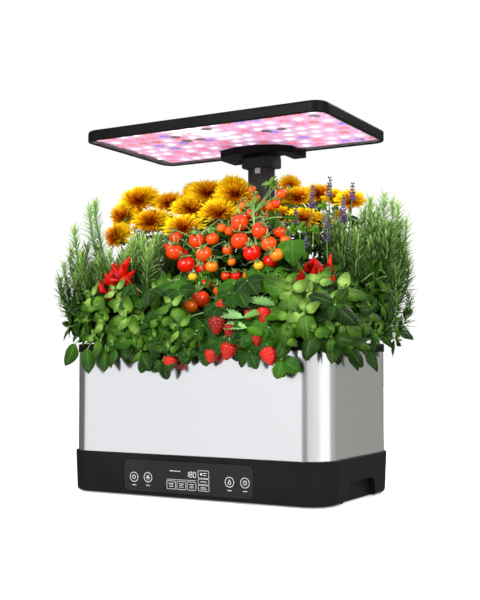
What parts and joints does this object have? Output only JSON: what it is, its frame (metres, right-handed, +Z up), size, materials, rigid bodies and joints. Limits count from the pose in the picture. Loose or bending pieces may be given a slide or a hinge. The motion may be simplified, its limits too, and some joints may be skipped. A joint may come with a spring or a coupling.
{
  "type": "countertop hydroponic garden",
  "caption": "Countertop hydroponic garden: steel-sleeved water tank on a black base with a touch panel, a planted grow deck, a telescopic post and an LED grow lamp.",
  "frame": {"origin": "centre of the footprint, on the table that the rubber feet stand on", "axes": "+Z up, +Y to the back where the post stands, the control panel faces -Y, +X to the right seen from the front"},
  "size_m": [0.4819, 0.2689, 0.5061],
  "materials": {
    "black_plastic": "satin",
    "dark_plastic": "matte",
    "panel_overlay": "satin",
    "circuit_board": "satin",
    "steel": "satin",
    "tank_plastic": "satin",
    "foot_rubber": "matte",
    "bright_metal": "satin",
    "float_red": "satin",
    "rotor_ferrite": "matte",
    "shaft_ceramic": "satin",
    "button_grey": "satin",
    "lens_clear": "gloss",
    "led_aluminium": "satin",
    "led_phosphor": "gloss",
    "sponge": "matte",
    "basil_leaf": "satin",
    "strawberry_leaf": "satin",
    "rosemary_leaf": "matte",
    "tomato_plant": "gloss",
    "chilli_plant": "satin",
    "marigold_flower": "matte"
  },
  "bodies": {
    "base": {"base_housing": "black_plastic", "base_plate": "black_plastic", "top_rim": "black_plastic", "outer_post": "black_plastic", "power_inlet": "black_plastic", "grow_deck": "dark_plastic", "lower_guide": "dark_plastic", "pump_housing": "dark_plastic", "pump_cover": "dark_plastic", "pump_riser": "dark_plastic", "basket_front_1": "dark_plastic", "basket_front_2": "dark_plastic", "basket_front_3": "dark_plastic", "basket_front_4": "dark_plastic", "basket_middle_1": "dark_plastic", "basket_middle_2": "dark_plastic", "basket_middle_3": "dark_plastic", "basket_middle_4": "dark_plastic", "basket_back_1": "dark_plastic", "basket_back_2": "dark_plastic", "basket_back_3": "dark_plastic", "basket_back_4": "dark_plastic", "control_panel": "panel_overlay", "control_board": "circuit_board", "steel_sleeve": "steel", "water_tank": "tank_plastic", "float_guide": "tank_plastic", "rubber_feet": "foot_rubber", "base_screws": "bright_metal", "refill_pin": "bright_metal", "pump_shaft": "shaft_ceramic", "grow_sponges": "sponge", "basil_left": "basil_leaf", "basil_right": "basil_leaf", "strawberry_left": "strawberry_leaf", "strawberry_right": "strawberry_leaf", "rosemary_left": "rosemary_leaf", "rosemary_right": "rosemary_leaf", "tomato_left": "tomato_plant", "tomato_right": "tomato_plant", "chilli_right": "chilli_plant", "marigold_left": "marigold_flower", "marigold_centre": "marigold_flower", "marigold_right": "marigold_flower"},
    "middle_stage": {"middle_tube": "black_plastic", "upper_guide": "dark_plastic"},
    "lamp_head": {"inner_tube": "black_plastic", "post_collar": "black_plastic", "button_spring": "bright_metal", "lamp_bracket": "black_plastic", "lamp_screws": "bright_metal", "lamp_housing": "black_plastic", "lens_panel": "lens_clear", "led_board": "led_aluminium", "led_chips": "led_phosphor", "lamp_driver": "circuit_board"},
    "release_button": {"release_button": "button_grey"},
    "refill_flap": {"refill_flap": "dark_plastic"},
    "water_float": {"water_float": "float_red"},
    "pump_rotor": {"pump_rotor": "rotor_ferrite"}
  },
  "joints": [
    {"name": "lower_slide", "type": "slide", "parent": "base", "child": "middle_stage", "axis": [0, 0, 1], "range_m": [-0.01, 0.06]},
    {"name": "upper_slide", "type": "slide", "parent": "middle_stage", "child": "lamp_head", "axis": [0, 0, 1], "range_m": [-0.01, 0.06]},
    {"name": "button_press", "type": "slide", "parent": "lamp_head", "child": "release_button", "axis": [0, 1, 0], "range_m": [0, 0.0025], "stiffness_N_per_m": 400, "springref_m": -0.003, "deforming": ["button_spring"]},
    {"name": "flap_hinge", "type": "hinge", "parent": "base", "child": "refill_flap", "pos_m": [0, -0.015, 0.2043], "axis": [-1, 0, 0], "range_deg": [0, 95]},
    {"name": "float_rise", "type": "slide", "parent": "base", "child": "water_float", "axis": [0, 0, 1], "range_m": [0, 0.028]},
    {"name": "rotor_spin", "type": "hinge", "parent": "base", "child": "pump_rotor", "pos_m": [-0.094, 0.0857, 0.073], "axis": [0, 1, 0], "continuous": true}
  ]
}
